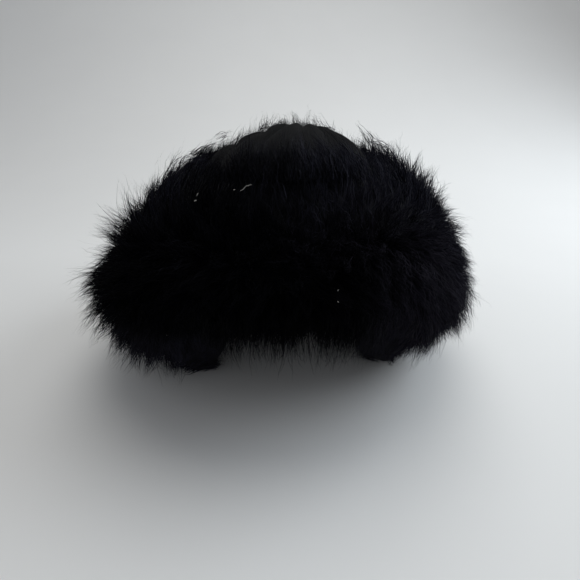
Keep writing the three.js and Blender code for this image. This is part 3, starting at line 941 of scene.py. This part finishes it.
def crest_locks():
    turn = scattered(CREST_WISPS)
    along = chance.uniform(CREST_ALONG["low"], CREST_ALONG["high"], len(turn))
    outward = outward_at(turn, along)
    surface = on_lines(tips_of_fur, turn, along)
    tip = surface + crest_moves(turn, along) + chance.normal(0, CREST_STRAY, surface.shape)
    rise = CREST_REACH["most"] * chance.uniform(0, 1, len(turn)) ** CREST_REACH["few_long"]
    tip[:, 2] += rise * (1 - CREST_REACH["less_at_sides"] * np.sin(turn) ** 2)
    tip[:, 2] += CREST_REACH["behind"] * np.maximum(0, -np.cos(turn))
    tip[:, 2] = np.minimum(tip[:, 2], CREST_REACH["highest"])
    return surface - outward * CREST_ROOT_DEPTH, tip, outward, np.full(len(turn), WISP_OPENNESS["crest"])


hair_piece("brow_wisps", *strands_of(*brow_locks()), WISP_WIDTHS)
hair_piece("cheek_wisps", *strands_of(*cheek_locks()), WISP_WIDTHS)
hair_piece("crest_wisps", *strands_of(*crest_locks()), WISP_WIDTHS)

# A few pale threads and specks of lint, thin, dull and a little curled. They are caught near the tips of the
# long hair in front and aren't fixed to it.
LINT = [
    {"at": 348.7, "along": 0.758, "length": 7, "turned": 34},
    {"at": 349.9, "along": 0.77, "length": 3, "turned": 20},
    {"at": 346, "along": 0.75, "length": 1.2, "turned": 10},
    {"at": 336.3, "along": 0.73, "length": 3, "turned": 50},
    {"at": 337, "along": 0.705, "length": 2, "turned": 20},
    {"at": 328.5, "along": 0.27, "length": 2, "turned": 60},
    {"at": 10, "along": 0.425, "length": 1.2, "turned": -60},
    {"at": 10, "along": 0.455, "length": 1, "turned": 60},
]
LINT_OUT = 2.5
LINT_CURL = {"bends": 7, "deep": 0.06}
LINT_WIDTHS = (0.3, 0.5, 0.45, 0.5, 0.3)
LINT_GREY = (0.42, 0.41, 0.38)
LINT_DULL = 0.6
LINT_NOISE = (2500, 2)
LINT_ROUGHNESS = (0, 1, 0.8, 1.0)
LINT_BUMP = {"strength": 1.0, "distance": 0.0001}


def lint_strands():
    lines = []
    for thread in LINT:
        turn, along = np.radians([thread["at"]]), np.array([thread["along"]])
        outward = outward_at(turn, along)[0]
        up = np.array([0.0, 0.0, 1.0])
        sideways = np.array([math.cos(turn[0]), math.sin(turn[0]), 0.0])
        lean = math.radians(thread["turned"])
        direction = sideways * math.cos(lean) + up * math.sin(lean)
        middle = on_lines(tips_of_fur, turn, along)[0] + outward * LINT_OUT
        t = np.array(HAIR_STATIONS)[:, None]
        curl = up * np.sin(t * LINT_CURL["bends"] + thread["at"]) * LINT_CURL["deep"] * thread["length"]
        lines.append(middle + direction * (t - 0.5) * thread["length"] + curl)
    return np.array(lines)


def pale_lint():
    material, tree, shader = new_material("pale_lint")
    fibre = noise_node(tree, *LINT_NOISE)
    dull = tuple(LINT_DULL * c for c in LINT_GREY)
    tree.links.new(blend_colours(tree, fibre, dull, LINT_GREY), shader.inputs["Base Color"])
    tree.links.new(ranged(tree, fibre, *LINT_ROUGHNESS), shader.inputs["Roughness"])
    add_bump(tree, shader, fibre, **LINT_BUMP)
    return material


lint = hair_piece("lint", lint_strands(), np.ones(len(LINT)), np.ones(len(LINT)), LINT_WIDTHS)
lint.data.materials[0] = pale_lint()

# A plain pale floor that curves up behind the hat, lit by broad soft lamps, and the camera.
# The camera looks a little down on the front, as close as the photograph was taken. Sizes are in metres.
FLOOR_COLOUR = (0.63, 0.632, 0.62)
FLOOR_PALER = 1.04
FLOOR_NOISE = (6, 3)
FLOOR_FINISH = {"Roughness": 0.9, "Specular IOR Level": 0.2}
BACKDROP = {"half": 3.4, "front": -1.4, "back": 2.2, "height": 3.4, "bend": 1.8, "bend_steps": 33}
LAMPS = {
    "window_lamp": {
        "place": (1.2, 0.2, 0.9), "target": (0, 0, 0.1), "size": 1.2, "power": 15,
        "colour": (0.86, 0.93, 1.0),
    },
    "ceiling_lamp": {
        "place": (0.1, 0.3, 1.6), "target": (0, 0.1, 0.1), "size": 1.4, "power": 12,
        "colour": (1.0, 0.99, 0.97),
    },
    "wall_lamp": {
        "place": (0.1, 0.9, 2.0), "target": (0.2, 2.2, 0.8), "size": 1.2, "power": 4,
        "colour": (1.0, 0.99, 0.97),
    },
}
ROOM_LIGHT = {"Color": (0.93, 0.95, 1.0, 1), "Strength": 0.44}
CAMERA_FROM_OPENING = (0.003, -0.395, 0.2456)
CAMERA_DOWN = 25
LENS = 26


def backdrop():
    bend = np.linspace(0, math.pi / 2, BACKDROP["bend_steps"])
    y = [BACKDROP["front"], *(BACKDROP["back"] - BACKDROP["bend"] + BACKDROP["bend"] * np.sin(bend))]
    z = [0.0, *(BACKDROP["bend"] * (1 - np.cos(bend)))]
    y.append(BACKDROP["back"])
    z.append(BACKDROP["height"])
    line = np.stack([np.zeros(len(y)), y, z], axis=-1)
    edges = [line + np.array([x, 0, 0]) for x in (-BACKDROP["half"], BACKDROP["half"])]
    points = np.stack(edges, axis=1).reshape(-1, 3)
    piece = piece_from("backdrop", points, quads_between(len(line), 2, around=False))
    material, tree, shader = new_material("pale_paper")
    pale = tuple(FLOOR_PALER * c for c in FLOOR_COLOUR)
    cloudy = blend_colours(tree, noise_node(tree, *FLOOR_NOISE), FLOOR_COLOUR, pale)
    tree.links.new(cloudy, shader.inputs["Base Color"])
    set_finish(shader, FLOOR_FINISH)
    piece.data.materials.append(material)


def lamp(name, place, target, size, power, colour):
    data = bpy.data.lights.new(name, "AREA")
    data.shape = "DISK"
    data.size = size
    data.energy = power
    data.color = colour
    light = bpy.data.objects.new(name, data)
    light.location = place
    light.rotation_euler = (Vector(target) - Vector(place)).to_track_quat("-Z", "Y").to_euler()
    bpy.context.scene.collection.objects.link(light)


backdrop()
for name, settings in LAMPS.items():
    lamp(name, **settings)

world = bpy.data.worlds.new("studio")
world.use_nodes = True
set_finish(world.node_tree.nodes["Background"], ROOM_LIGHT)
bpy.context.scene.world = world
bpy.context.scene.view_settings.view_transform = "Standard"

camera_data = bpy.data.cameras.new("camera")
camera_data.lens = LENS
camera = bpy.data.objects.new("camera", camera_data)
camera.location = OPENING_MIDDLE * Vector((1, 1, 0)) + Vector(CAMERA_FROM_OPENING)
camera.rotation_euler = (math.radians(90 - CAMERA_DOWN), 0, 0)
bpy.context.scene.collection.objects.link(camera)
bpy.context.scene.camera = camera
